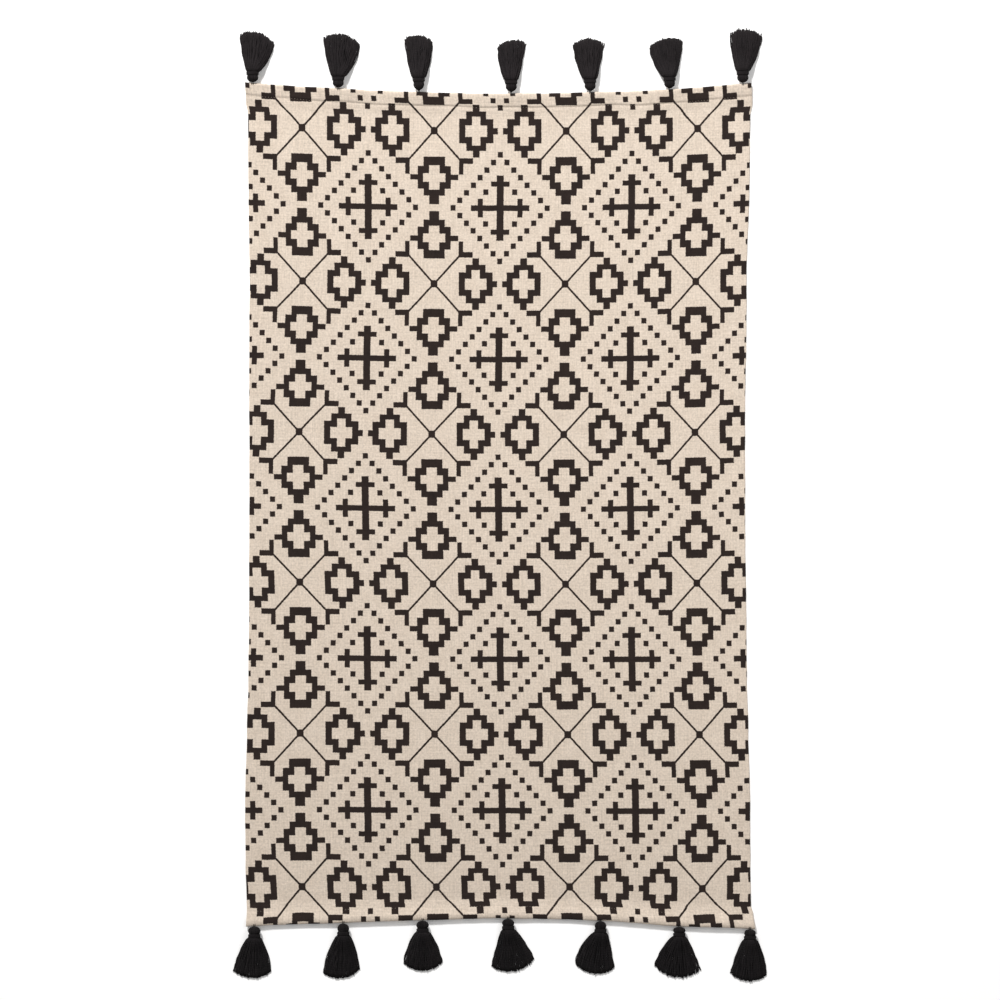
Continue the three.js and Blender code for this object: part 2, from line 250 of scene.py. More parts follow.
def clothHeights(u, v):
    # The underside is 0 but for a rise of (1 - d²)² at each tassel. The top lies the cloth's thickness
    # above it, and higher over the hem: it falls from the fold to the seam, steps down there, and falls on
    # to where the turned layer ends. A trough along the seam, puckers that fade from it and slight
    # unevenness come on top. Both surfaces meet at a rim: sqrt(1 - (1 - d)²) of their height from it at
    # distance d from the edge.
    fromSide, fromEnd = cloth["width"] / 2 - np.abs(u), cloth["length"] / 2 - np.abs(v)
    outward = 1 - ease(fromEnd, 0, cloth["liftReach"])
    under = np.zeros(np.broadcast(u, v).shape)
    for end, side, height, span in (("back", v > 0, "liftBack", "spanBack"),
                                    ("front", v <= 0, "liftFront", "spanFront")):
        for tassel in tassels[end]:
            off = np.clip(np.abs(u - tassel["at"]) / cloth[span], 0, 1)
            under = under + np.where(side, cloth[height] * outward * (1 - off ** 2) ** 2, 0)
    endRim = np.where(v > 0, cloth["backRim"], cloth["frontRim"])
    fromHem = fromEnd - hemDeeper(u, v)
    hemHeight = 0
    for side, step, share in ((v > 0, "stepBack", 1), (v <= 0, "stepFront", cloth["frontShare"])):
        stepStart, stepEnd = cloth[step]
        falls = ((cloth["hemSlope"], endRim, stepStart), (cloth["hemStep"], stepStart, stepEnd),
                 (cloth["footDrop"], stepEnd, cloth["footEnd"]))
        rise = sum(fall * (1 - ease(fromHem, low, high)) for fall, low, high in falls)
        hemHeight = hemHeight + share * side * rise
    fromSeam = fromHem - cloth["seamDepth"]
    depth = np.where(v > 0, cloth["troughBack"], cloth["troughFront"])
    trough = depth * np.exp(-(fromSeam / cloth["seamWidth"]) ** 2)
    gathers = np.where(v > 0, ripple(u, cloth["gathersBack"], 7), ripple(u, cloth["gathersFront"], 8))
    pucker = cloth["pucker"] * gathers * np.exp(-(fromSeam / cloth["puckerReach"]) ** 2)
    slantAcross, slantAlong = cloth["slowSlant"]
    slow = (ripple(u + slantAcross * v, cloth["slowAcross"], 9)
            * ripple(v + slantAlong * u, cloth["slowAlong"], 10))
    high = under + cloth["thickness"] + hemHeight + pucker - trough + cloth["unevenness"] * slow
    edge = under + cloth["edgeHeight"] * (high - under)

    def rim(endSize):
        share = 1.0
        for distance, size in ((fromSide, cloth["sideRim"]), (fromEnd, endSize)):
            share = share * np.sqrt(1 - (1 - np.clip(distance / size, 0, 1)) ** 2)
        return share

    return edge + (under - edge) * rim(cloth["endRimUnder"]), edge + (high - edge) * rim(endRim)


# The geometric repeat, charted in millimetres within a quarter of it, because it mirrors about the
# middle of each cross and each crossing of the diagonals. A block is its middle (x, y) and half its size.
chart = {
    "repeat": (238.8, 273.5),
    "ink": [
        # The long cross with its four short bars, and the dot in each of its corners.
        (0, 0, 5.75, 58), (0, 0, 52.3, 4.6), (0, 43.2, 16.3, 4.0), (36, 0, 4.1, 16.2),
        (26.2, 28.6, 4.0, 4.4),
        # The stepped medallion beside the crosses' row, with its stem.
        (119.4, 56.4, 18.65, 34.3), (119.4, 54.5, 29.35, 19.8), (119.4, 55, 42.8, 4.3),
        (119.4, 30.85, 8.3, 24.15),
        # The stepped medallion in the crosses' column.
        (43.6, 136.75, 17.5, 34.2), (43.6, 136.75, 30.4, 20.7), (43.6, 136.75, 5.5, 46),
        (24.4, 136.75, 19.2, 5),
        # The knot where the diagonals cross, and the bracket at the diagonal's end.
        (119.4, 136.75, 5.5, 6), (70.85, 74.6, 3.45, 13.85), (62.1, 84.05, 12.2, 4.4),
    ],
    "bare": [(119.4, 54.2, 10, 22.4), (119.4, 54.1, 20.7, 8.3),
             (43.6, 136.75, 8.1, 25.9), (43.6, 136.75, 20.3, 10.6)],
    "dotStep": (12.2, -13.65), "dotTop": 95.55, "lastDot": 7, "dotHalf": (4.0, 4.4),
    "diagonal": (45.1, 49.5), "diagonalHalf": 1.15,
    "bleed": 0.65, "edge": 0.5, "threadShift": 0.3, "threadRun": (41, 43),
    "wobble": 0.4, "wobbleLength": 50, "sagFrom": 0.76, "sagFull": 0.94,
}


# How the print lies on the cloth, in rows along it: how far it drifts to the right, by how much it is wider
# and how it bends there, how far it lies ahead, leans and bows, and how far it sags beside the left edge,
# all in millimetres.
printRows = {
    "y": (-750, -715, -675, -585, -400, -220, -40, 60, 140, 230, 410, 590, 680, 750),
    "drift": (7, 7, 7.4, 7.3, 5, 3, 1.5, 0.5, 0.4, 1.4, 2.4, 1.6, 1.8, 1.4),
    "wider": (-3.4, -2.7, -1.3, -0.5, 0.3, 0.6, 3.3, 3.2, 1.3, 0, -2.8, -4.2, -4.8, -6.5),
    "bend": (-3, -3, -2.4, -3.6, -4, -3.2, -3.6, -3.4, -2.4, -1.3, -1.3, -2, -1.8, -1.5),
    "ahead": (-4.2, -3.7, -2.7, -0.9, 0.3, -0.6, -1.9, -3.1, -3.7, -4.5, -5.3, -4.2, -4.1, -4.1),
    "lean": (1, 0.8, 0.8, 1, 1, 1, 1, 1, 0.7, 0.6, 0.4, 0.3, 0.6, 0.5),
    "bow": (18, 12.5, 3, -0.9, 0, -0.4, -0.9, -1.2, -1, -1, -1, 0, 0, -3),
    "sag": (10.5, 5, 3, 2.2, 1.8, 1.5, 1.3, 1.3, 1.3, 1, 0, 0, 0, 0),
}


def printPlace(u, v):
    # Where a point of the cut cloth lies in the print:
    # x = u - drift - wider · across - bend · (across² - 1/3), and
    # y = v - ahead - lean · across - bow · (across² - 1/3), plus the sag, which eases in at the left.
    across = u / (cloth["width"] / 2)
    place = []
    for start, columns in ((u, ("drift", "wider", "bend")), (v, ("ahead", "lean", "bow"))):
        shift, slope, curve = (atRow(v, column, printRows) for column in columns)
        place.append(start - shift - slope * across - curve * (across ** 2 - 1 / 3))
    place[1] = place[1] + atRow(v, "sag", printRows) * ease(-across, chart["sagFrom"], chart["sagFull"])
    return place


def blockField(tree, xs, ys, blocks):
    # How far a point lies outside the nearest block: the larger of |x - middle| - half and
    # |y - middle| - half. Three blocks are worked out at a time, as the three parts of a vector.
    blocks = blocks + blocks[-1:] * (-len(blocks) % 3)
    nearest = None
    for i in range(0, len(blocks), 3):
        middleX, middleY, halfX, halfY = zip(*blocks[i:i + 3])
        sides = []
        for place, middle, half in ((xs, middleX, halfX), (ys, middleY, halfY)):
            off = addNode(tree, "ShaderNodeVectorMath", {"operation": "SUBTRACT"}, {0: place, 1: middle})
            size = addNode(tree, "ShaderNodeVectorMath", {"operation": "ABSOLUTE"}, {0: off.outputs[0]})
            sides.append(addNode(tree, "ShaderNodeVectorMath", {"operation": "SUBTRACT"},
                                 {0: size.outputs[0], 1: half}))
        block = addNode(tree, "ShaderNodeVectorMath", {"operation": "MAXIMUM"},
                        {0: sides[0].outputs[0], 1: sides[1].outputs[0]})
        if nearest:
            block = addNode(tree, "ShaderNodeVectorMath", {"operation": "MINIMUM"},
                            {0: nearest.outputs[0], 1: block.outputs[0]})
        nearest = block
    three = addNode(tree, "ShaderNodeSeparateXYZ", inputs={0: nearest.outputs[0]})
    two = addNode(tree, "ShaderNodeMath", {"operation": "MINIMUM"},
                  {0: three.outputs[0], 1: three.outputs[1]})
    one = addNode(tree, "ShaderNodeMath", {"operation": "MINIMUM"},
                  {0: two.outputs[0], 1: three.outputs[2]})
    return one.outputs[0]


def inkField(tree, place):  # the distance to the edge of the print's ink in mm, below 0 inside the ink
    repeatX, repeatY = chart["repeat"]
    wrapped = addNode(tree, "ShaderNodeVectorMath", {"operation": "WRAP"},
                      {0: place, 1: (repeatX / 2, repeatY / 2, 1), 2: (-repeatX / 2, -repeatY / 2, -1)})
    folded = addNode(tree, "ShaderNodeVectorMath", {"operation": "ABSOLUTE"}, {0: wrapped.outputs[0]})
    folded = folded.outputs[0]
    parts = addNode(tree, "ShaderNodeSeparateXYZ", inputs={0: folded}).outputs
    xs = addNode(tree, "ShaderNodeCombineXYZ", inputs={0: parts[0], 1: parts[0], 2: parts[0]}).outputs[0]
    ys = addNode(tree, "ShaderNodeCombineXYZ", inputs={0: parts[1], 1: parts[1], 2: parts[1]}).outputs[0]
    ink = blockField(tree, xs, ys, chart["ink"])
    bare = blockField(tree, xs, ys, chart["bare"])

    # The lozenge of dots: the dot nearest across is number x / step, and each next one lies a step lower.
    stepX, stepY = chart["dotStep"]
    number = addNode(tree, "ShaderNodeMath", {"operation": "DIVIDE"}, {0: parts[0], 1: stepX})
    number = addNode(tree, "ShaderNodeMath", {"operation": "ROUND"}, {0: number.outputs[0]})
    number = addNode(tree, "ShaderNodeMath", {"operation": "MINIMUM"},
                     {0: number.outputs[0], 1: chart["lastDot"]})
    middle = addNode(tree, "ShaderNodeVectorMath", {"operation": "MULTIPLY_ADD"},
                     {0: number.outputs[0], 1: (stepX, stepY, 0), 2: (0, chart["dotTop"], 0)})
    off = addNode(tree, "ShaderNodeVectorMath", {"operation": "SUBTRACT"},
                  {0: folded, 1: middle.outputs[0]})
    off = addNode(tree, "ShaderNodeVectorMath", {"operation": "ABSOLUTE"}, {0: off.outputs[0]})
    off = addNode(tree, "ShaderNodeVectorMath", {"operation": "SUBTRACT"},
                  {0: off.outputs[0], 1: (*chart["dotHalf"], 0)})
    off = addNode(tree, "ShaderNodeSeparateXYZ", inputs={0: off.outputs[0]})
    dots = addNode(tree, "ShaderNodeMath", {"operation": "MAXIMUM"}, {0: off.outputs[0], 1: off.outputs[1]})

    # The thin diagonal from the knot to the bracket: the distance to its line, cut off at the bracket.
    runX, runY = chart["diagonal"]
    square = (runY / math.hypot(runX, runY), -runX / math.hypot(runX, runY), 0)
    fromKnot = addNode(tree, "ShaderNodeVectorMath", {"operation": "SUBTRACT"},
                       {0: folded, 1: (repeatX / 2, repeatY / 2, 0)})
    beside = addNode(tree, "ShaderNodeVectorMath", {"operation": "DOT_PRODUCT"},
                     {0: fromKnot.outputs[0], 1: square})
    beside = addNode(tree, "ShaderNodeMath", {"operation": "ABSOLUTE"}, {0: beside.outputs["Value"]})
    line = addNode(tree, "ShaderNodeMath", {"operation": "SUBTRACT"},
                   {0: beside.outputs[0], 1: chart["diagonalHalf"]})
    past = addNode(tree, "ShaderNodeMath", {"operation": "SUBTRACT"}, {0: repeatX / 2 - runX, 1: parts[0]})
    line = addNode(tree, "ShaderNodeMath", {"operation": "MAXIMUM"},
                   {0: line.outputs[0], 1: past.outputs[0]})

    fine = addNode(tree, "ShaderNodeMath", {"operation": "MINIMUM"},
                   {0: dots.outputs[0], 1: line.outputs[0]})
    ink = addNode(tree, "ShaderNodeMath", {"operation": "MINIMUM"}, {0: ink, 1: fine.outputs[0]})
    outside = addNode(tree, "ShaderNodeMath", {"operation": "MULTIPLY"}, {0: bare, 1: -1})
    ink = addNode(tree, "ShaderNodeMath", {"operation": "MAXIMUM"},
                  {0: ink.outputs[0], 1: outside.outputs[0]})
    return ink.outputs[0]


cotton = {
    "cream": "#d4c5b5", "creamShade": "#cbbbaa", "ink": "#271f1c", "inkShade": "#312723",
    "warpPitch": 1.7, "weftPitch": 1.5, "weaveHeight": 0.1, "slubHeight": 0.22, "slubLength": 45,
    "streak": 0.26, "grain": 0.48, "grainLength": 3.6, "weavePaintedShade": 0.02,
    "mottleLength": 22, "mottle": 0.5, "mottleFrom": 0.3, "mottleFull": 0.7, "showThrough": 0.14,
}


def printedCotton():
    # Plain-woven unbleached cotton, printed in black: matt, with the fine grid of its threads, threads that
    # are here and there thicker or paler, and print edges that step from thread to thread.
    material, tree, output = newMaterial("plain-woven printed cotton")
    place = addNode(tree, "ShaderNodeAttribute", {"attribute_name": "printPlace"}).outputs["Vector"]
    flat = addNode(tree, "ShaderNodeVectorMath", {"operation": "MULTIPLY"}, {0: place, 1: (1, 1, 0)})
    flat = flat.outputs[0]
    parts = addNode(tree, "ShaderNodeSeparateXYZ", inputs={0: place}).outputs

    # Each weft thread shifts the ink sideways a little, and each warp thread shifts it lengthwise.
    shifts = []
    weftRun, warpRun = chart["threadRun"]
    for pitches in ((weftRun, cotton["weftPitch"], 1), (cotton["warpPitch"], warpRun, 1)):
        cell = addNode(tree, "ShaderNodeVectorMath", {"operation": "SNAP"}, {0: flat, 1: pitches})
        shifts.append(addNode(tree, "ShaderNodeTexWhiteNoise", {"noise_dimensions": "2D"},
                              {"Vector": cell.outputs[0]}).outputs["Value"])
    shift = addNode(tree, "ShaderNodeCombineXYZ", inputs={0: shifts[0], 1: shifts[1]})
    shift = addNode(tree, "ShaderNodeVectorMath", {"operation": "MULTIPLY_ADD"},
                    {0: shift.outputs[0], 1: (2 * chart["threadShift"],) * 3, 2: flat})
    wobble = addNode(tree, "ShaderNodeTexNoise", {"noise_dimensions": "2D"},
                     {"Vector": flat, "Scale": 1 / chart["wobbleLength"], "Detail": 1.0})
    wobbled = addNode(tree, "ShaderNodeVectorMath", {"operation": "MULTIPLY_ADD"},
                      {0: wobble.outputs["Color"], 1: (2 * chart["wobble"],) * 3, 2: shift.outputs[0]})
    centred = addNode(tree, "ShaderNodeVectorMath", {"operation": "SUBTRACT"},
                      {0: wobbled.outputs[0], 1: (chart["wobble"] + chart["threadShift"],) * 3})
    field = inkField(tree, centred.outputs[0])
    # The ink has bled a little past the chart's edges.
    inkEnd, inkStart = chart["bleed"] + chart["edge"], chart["bleed"] - chart["edge"]
    inked = addNode(tree, "ShaderNodeMapRange", {"interpolation_type": "SMOOTHSTEP"},
                    {"Value": field, "From Min": inkEnd, "From Max": inkStart})
    inked = addNode(tree, "ShaderNodeMath", {"operation": "MULTIPLY"}, {0: inked.outputs[0], 1: parts[2]})

    # Slubs: noise drawn out along the warp threads, and again along the weft threads.
    streaks = []
    for stretch in ((1 / cotton["warpPitch"], 1 / cotton["slubLength"], 0),
                    (1 / cotton["slubLength"], 1 / cotton["weftPitch"], 0)):
        drawn = addNode(tree, "ShaderNodeVectorMath", {"operation": "MULTIPLY"}, {0: flat, 1: stretch})
        streaks.append(addNode(tree, "ShaderNodeTexNoise", {"noise_dimensions": "2D"},
                               {"Vector": drawn.outputs[0], "Scale": 1.0, "Detail": 1.0}).outputs["Fac"])
    slub = addNode(tree, "ShaderNodeMath", {"operation": "ADD"}, {0: streaks[0], 1: streaks[1]}).outputs[0]
    mottle = addNode(tree, "ShaderNodeTexNoise", {"noise_dimensions": "2D"},
                     {"Vector": flat, "Scale": 1 / cotton["mottleLength"], "Detail": 3.0}).outputs["Fac"]

    # The crossings of a plain weave: sin(pi u / pitch) · sin(pi v / pitch) is high and low by turns.
    waves = []
    for axis, pitch in ((0, "warpPitch"), (1, "weftPitch")):
        angle = addNode(tree, "ShaderNodeMath", {"operation": "MULTIPLY"},
                        {0: parts[axis], 1: math.pi / cotton[pitch]})
        waves.append(addNode(tree, "ShaderNodeMath", {"operation": "SINE"}, {0: angle.outputs[0]}))
    crossing = addNode(tree, "ShaderNodeMath", {"operation": "MULTIPLY"},
                       {0: waves[0].outputs[0], 1: waves[1].outputs[0]})
    crossing = crossing.outputs[0]

    # Tone: 1 on average, lower where a thread is thin, with painted shade in the dips of the weave and
    # painted light on its highs. The weave is about as fine as a pixel of the render, so a grain that is
    # two threads wide is drawn over it to show.
    grain = addNode(tree, "ShaderNodeTexNoise", {"noise_dimensions": "2D"},
                    {"Vector": flat, "Scale": 1 / cotton["grainLength"], "Detail": 2.0}).outputs["Fac"]
    tone = addNode(tree, "ShaderNodeMath", {"operation": "MULTIPLY_ADD"},
                   {0: slub, 1: cotton["streak"], 2: 1 - cotton["streak"] - cotton["grain"] / 2})
    tone = addNode(tree, "ShaderNodeMath", {"operation": "MULTIPLY_ADD"},
                   {0: grain, 1: cotton["grain"], 2: tone.outputs[0]})
    # Painted shade in the dips of the weave and painted light on its highs.
    tone = addNode(tree, "ShaderNodeMath", {"operation": "MULTIPLY_ADD"},
                   {0: crossing, 1: cotton["weavePaintedShade"], 2: tone.outputs[0]})
    patchy = addNode(tree, "ShaderNodeMapRange", inputs={
        "Value": mottle, "From Min": cotton["mottleFrom"], "From Max": cotton["mottleFull"],
        "To Max": cotton["mottle"]}).outputs[0]
    # A mix node's colour inputs are its 6 and 7, and its colour output is 2.
    cream = addNode(tree, "ShaderNodeMix", {"data_type": "RGBA"},
                    {0: patchy, 6: hexColour(cotton["cream"]), 7: hexColour(cotton["creamShade"])})
    ink = addNode(tree, "ShaderNodeMix", {"data_type": "RGBA"},
                  {0: patchy, 6: hexColour(cotton["ink"]), 7: hexColour(cotton["inkShade"])})
    colour = addNode(tree, "ShaderNodeMix", {"data_type": "RGBA"},
                     {0: inked.outputs[0], 6: cream.outputs[2], 7: ink.outputs[2]})
    toned = addNode(tree, "ShaderNodeVectorMath", {"operation": "SCALE"},
                    {0: colour.outputs[2], "Scale": tone.outputs[0]})

    height = addNode(tree, "ShaderNodeMath", {"operation": "MULTIPLY"},
                     {0: crossing, 1: cotton["weaveHeight"]})
    height = addNode(tree, "ShaderNodeMath", {"operation": "MULTIPLY_ADD"},
                     {0: slub, 1: cotton["slubHeight"], 2: height.outputs[0]})
    bump = addNode(tree, "ShaderNodeBump", inputs={
        "Height": height.outputs[0], "Distance": mm, "Strength": 1.0})
    shader = addNode(tree, "ShaderNodeBsdfPrincipled", inputs={
        "Base Color": toned.outputs[0], "Roughness": 0.95, "Specular IOR Level": 0.12,
        "Sheen Weight": 0.03, "Sheen Roughness": 0.6, "Normal": bump.outputs[0]})
    tree.links.new(shader.outputs[0], output.inputs["Surface"])
    return material


def stations(length, near, spacing):
    # Places along a length: near each edge at the given distances, then even spaces of about that size.
    near = np.array(near, float)
    inner = np.linspace(near[-1], length - near[-1], round((length - 2 * near[-1]) / spacing) + 1)[1:-1]
    return np.concatenate([near, inner, length - near[::-1]]) - length / 2


def makeCloth(material):
    # The top and the underside are two grids over the cut cloth (u, v), which share the points of the rim.
    u = stations(cloth["width"], cloth["nearSide"], cloth["spacing"])
    v = stations(cloth["length"], cloth["nearEnd"], cloth["spacing"])
    u, v = np.meshgrid(u, v)
    # The rows near the back end shift with the hem's seam, so that they stay close together along it.
    fromEnd = cloth["length"] / 2 - np.abs(v)
    nearSeam = ease(fromEnd, 0, cloth["stepBack"][0]) * (1 - ease(fromEnd, *cloth["shiftFades"]))
    v = v - hemDeeper(u, v) * nearSeam
    rows, columns = u.shape
    x, y = wavyPlace(u, v)
    low, high = clothHeights(u, v)
    inside = np.s_[1:-1, 1:-1]
    top = np.arange(u.size).reshape(u.shape)
    under = top.copy()
    under[inside] = u.size + np.arange((rows - 2) * (columns - 2)).reshape(rows - 2, columns - 2)
    points = np.concatenate([np.stack([x, y, high], 2).reshape(-1, 3),
                             np.stack([x, y, low], 2)[inside].reshape(-1, 3)])

    def squares(grid):
        return np.stack([grid[:-1, :-1], grid[:-1, 1:], grid[1:, 1:], grid[1:, :-1]], 2).reshape(-1, 4)

    faces = np.vstack([squares(top), squares(under)[:, ::-1]])
    # On the underside the hem shows its printed face, which runs on past the fold, and the rest shows the
    # print only faintly through the cloth.
    foldedOver = cloth["length"] / 2 - np.abs(v) - hemDeeper(u, v) < cloth["hemDepth"] + cloth["foldMargin"]
    turnedV = np.where(foldedOver, np.sign(v) * cloth["length"] - v, v)
    topPrint = np.stack([*printPlace(u, v), np.ones_like(u)], 2).reshape(-1, 3)
    shows = np.where(foldedOver, 1, cotton["showThrough"])
    underPrint = np.stack([*printPlace(u, turnedV), shows], 2)[inside].reshape(-1, 3)
    cut = np.stack([u, v], 2)
    cut = np.concatenate([cut.reshape(-1, 2), cut[inside].reshape(-1, 2)])
    corners = cut[faces.ravel()] / cloth["length"] + 0.5
    piece = makePiece("printedRug", [asPart(points, faces.tolist(), corners)], material, "cutCloth",
                      ("rug_cloth",))
    printed = piece.data.attributes.new("printPlace", "FLOAT_VECTOR", "POINT")
    printed.data.foreach_set("vector", np.concatenate([topPrint, underPrint]).astype(np.float32).ravel())
    return piece


thread = {
    "length": 2.4, "space": 5.2, "scatter": 0.15, "inset": 4, "radius": 0.18, "sink": 0.25,
    "fullness": 1.05, "taper": 0.5, "sides": 6, "rings": 5, "colour": "#c2b4a3", "tones": (0.85, 1.05),
}


def sewnThread():  # spun cotton sewing thread, cream and matt
    material, tree, output = newMaterial("spun cotton sewing thread")
    tone = addNode(tree, "ShaderNodeAttribute", {"attribute_name": "tone"}).outputs["Fac"]
    darkest, palest = thread["tones"]
    value = addNode(tree, "ShaderNodeMapRange", inputs={"Value": tone, "To Min": darkest, "To Max": palest})
    colour = addNode(tree, "ShaderNodeVectorMath", {"operation": "SCALE"},
                     {0: hexColour(thread["colour"])[:3], "Scale": value.outputs[0]})
    shader = addNode(tree, "ShaderNodeBsdfPrincipled", inputs={
        "Base Color": colour.outputs[0], "Roughness": 0.85, "Specular IOR Level": 0.3})
    tree.links.new(shader.outputs[0], output.inputs["Surface"])
    return material


def makeHemStitches(material):
    # Small hemming stitches along each seam: each is a short tube that lies sink · t² below the cloth's
    # top, with t from -1 to 1 along it, so that its ends go into the cloth. It gets thinner towards them:
    # radius · sqrt(fullness - taper · t²).
    rng = np.random.default_rng(21)
    pieces = []
    for end, sign in (("back", 1), ("front", -1)):
        halfRun = cloth["width"] / 2 - thread["inset"]
        middles = np.arange(-halfRun, halfRun, thread["space"])[:, None]
        t = np.linspace(-1, 1, thread["rings"])
        u = middles + t * thread["length"] / 2
        v = sign * (cloth["length"] / 2 - cloth["seamDepth"] - hemDeeper(u, sign))
        v = v + rng.normal(0, thread["scatter"], middles.shape)
        x, y = wavyPlace(u, v)
        z = clothHeights(u, v)[1] - thread["sink"] * t ** 2
        radius = thread["radius"] * np.sqrt(thread["fullness"] - thread["taper"] * t ** 2)
        tone = rng.uniform(0, 1, len(middles))
        tube = tubes(np.stack([x, y, z], 2), radius, (0.0, 1.0, 0.0), thread["sides"], tone)
        pieces.append(makePiece(f"hemStitches_{end}", [tube], material, "yarn"))
    return pieces


yarn = {
    "radius": 0.85, "thickness": (0.9, 1.1), "sides": 5, "rings": 12,
    # The skirt. bedHeight says how many strand radii the lowest strands' middles lie above the floor.
    "layers": (30, 38, 42, 42, 37, 27), "layerWidth": (1.0, 1.0, 0.98, 0.94, 0.86, 0.7),
    "sideScatter": 0.03, "layerScatter": 0.35, "rootRadius": 7.8, "start": 2.0,
    "shoulder": 0.34, "shoulderRun": (0.02, 0.11),
    "middleLonger": 0.06, "uneven": {"back": 0.022, "front": 0.014},
    "pile": 14.0, "tipPile": 3.2, "pileFall": 1.5, "pileRound": 0.82, "bedHeight": 1.25, "droop": 0.42,
    "wobble": 1.0, "lift": 0.7, "waves": (1.2, 3.0), "tipThicker": 0.12, "tipFrom": 0.9,
    # The head and the neck.
    "headRadius": 9.5, "neckRadius": 8.3, "neckLength": 7, "widest": 0.65, "wider": 1.15, "headTop": 0.95,
    "axisHeight": 9.9, "clearance": 0.3, "headStrands": 34, "headScatter": 0.2, "headLean": 0.03,
    "headStart": 0.03, "headRings": 11, "underWinding": (1.25, 1.5), "headLeast": 0.7,
    "thinStart": 0.55, "thickest": 1.1,
    "coreInset": 1.3, "coreLeast": 0.4, "coreSides": 16, "coreTone": 0.2,
    # The dye, the back tassels' painted light, and the twist.
    "colour": "#141213", "paleColour": "#383233", "paintedLight": {"back": 0.36, "front": 0.0}, "toneSpread": 0.5,
    "plies": 2, "twistPitch": 4.5, "twistHeight": 0.15, "ridgePaintedShade": 0.1, "fuzzPerMetre": 900,
}
winding = {
    "turns": 5, "radius": 0.7, "fatter": 1.02, "inner": 8.5, "startTurn": 0.6, "tuck": 0.03,
    "sides": 6, "steps": 26,
    "colour": "#141213", "paleColour": "#383233", "twistPitch": 2.4, "twistHeight": 0.1,
}
tie = {
    "apart": 1.3, "radius": 0.55, "into": 4.0, "rise": 0.35, "depth": 1, "sides": 6, "tone": 0.6,
    "outside": (2.5, 0.6, -0.8), "inside": (0.55, 0.9, 1), "spread": (0.5, 0.7, 0.9, 1, 1, 1),
}


def twistedYarn(name, spun):
    # Twisted cotton yarn, dyed black: matt, with its plies running round it as slanted ridges, with painted
    # shade in the grooves between them and painted light on their crests, and a little paler on the strands
    # whose dye took less, and paler again on the back tassels as painted light. The yarn map is the turn
    # round it and millimetres along it.
    # The fuzz is about 1.1 mm to a tuft, which shows close up.
    material, tree, output = newMaterial(name)
    place = addNode(tree, "ShaderNodeUVMap", {"uv_map": "yarn"}).outputs[0]
    tone = addNode(tree, "ShaderNodeAttribute", {"attribute_name": "tone"}).outputs["Fac"]
    slant = addNode(tree, "ShaderNodeVectorMath", {"operation": "DOT_PRODUCT"},
                    {0: place, 1: (2 * math.pi * yarn["plies"], 2 * math.pi / spun["twistPitch"], 0)})
    ridge = addNode(tree, "ShaderNodeMath", {"operation": "SINE"}, {0: slant.outputs["Value"]}).outputs[0]
    solid = addNode(tree, "ShaderNodeTexCoord").outputs["Object"]
    fuzz = addNode(tree, "ShaderNodeTexNoise", inputs={
        "Vector": solid, "Scale": yarn["fuzzPerMetre"], "Detail": 2.0}).outputs["Fac"]
    # Painted shade in the grooves between the plies and painted light on their crests, on top of the
    # strand's tone.
    mixed = addNode(tree, "ShaderNodeMath", {"operation": "MULTIPLY_ADD"},
                    {0: ridge, 1: yarn["ridgePaintedShade"], 2: tone})
    mixed = addNode(tree, "ShaderNodeMath", {"operation": "MULTIPLY"}, {0: mixed.outputs[0], 1: fuzz})
    colour = addNode(tree, "ShaderNodeMix", {"data_type": "RGBA"},
                     {0: mixed.outputs[0], 6: hexColour(spun["colour"]), 7: hexColour(spun["paleColour"])})
    relief = addNode(tree, "ShaderNodeMath", {"operation": "MULTIPLY_ADD"},
                     {0: ridge, 1: spun["twistHeight"], 2: fuzz})
    bump = addNode(tree, "ShaderNodeBump", inputs={
        "Height": relief.outputs[0], "Distance": mm, "Strength": 0.8})
    shader = addNode(tree, "ShaderNodeBsdfPrincipled", inputs={
        "Base Color": colour.outputs[2], "Roughness": 0.9, "Specular IOR Level": 0.1,
        "Sheen Weight": 0.03, "Sheen Roughness": 0.5, "Normal": bump.outputs[0]})
    tree.links.new(shader.outputs[0], output.inputs["Surface"])
    return material


def headRadiusAt(s, tassel):
    # The head's radius at share s of its length: radius · full · (1 - (1 - s / widest)²)^point up to its
    # widest, and from there it eases in to the neck.
    widest = yarn["headRadius"] * tassel["full"]
    rise = np.clip(1 - (1 - s / yarn["widest"]).clip(0, 1) ** 2, 0, 1) ** tassel["point"]
    return widest * rise - (widest - yarn["neckRadius"]) * ease(s, yarn["widest"], 1)


def aroundAxis(radius, turn, along):
    # A point beside the tassel's axis: a tassel that lies down is wider than it is high.
    x = yarn["wider"] * radius * np.cos(turn)
    z = yarn["headTop"] * radius * np.sin(turn) + yarn["axisHeight"]
    return np.stack(np.broadcast_arrays(x, along, z), -1)


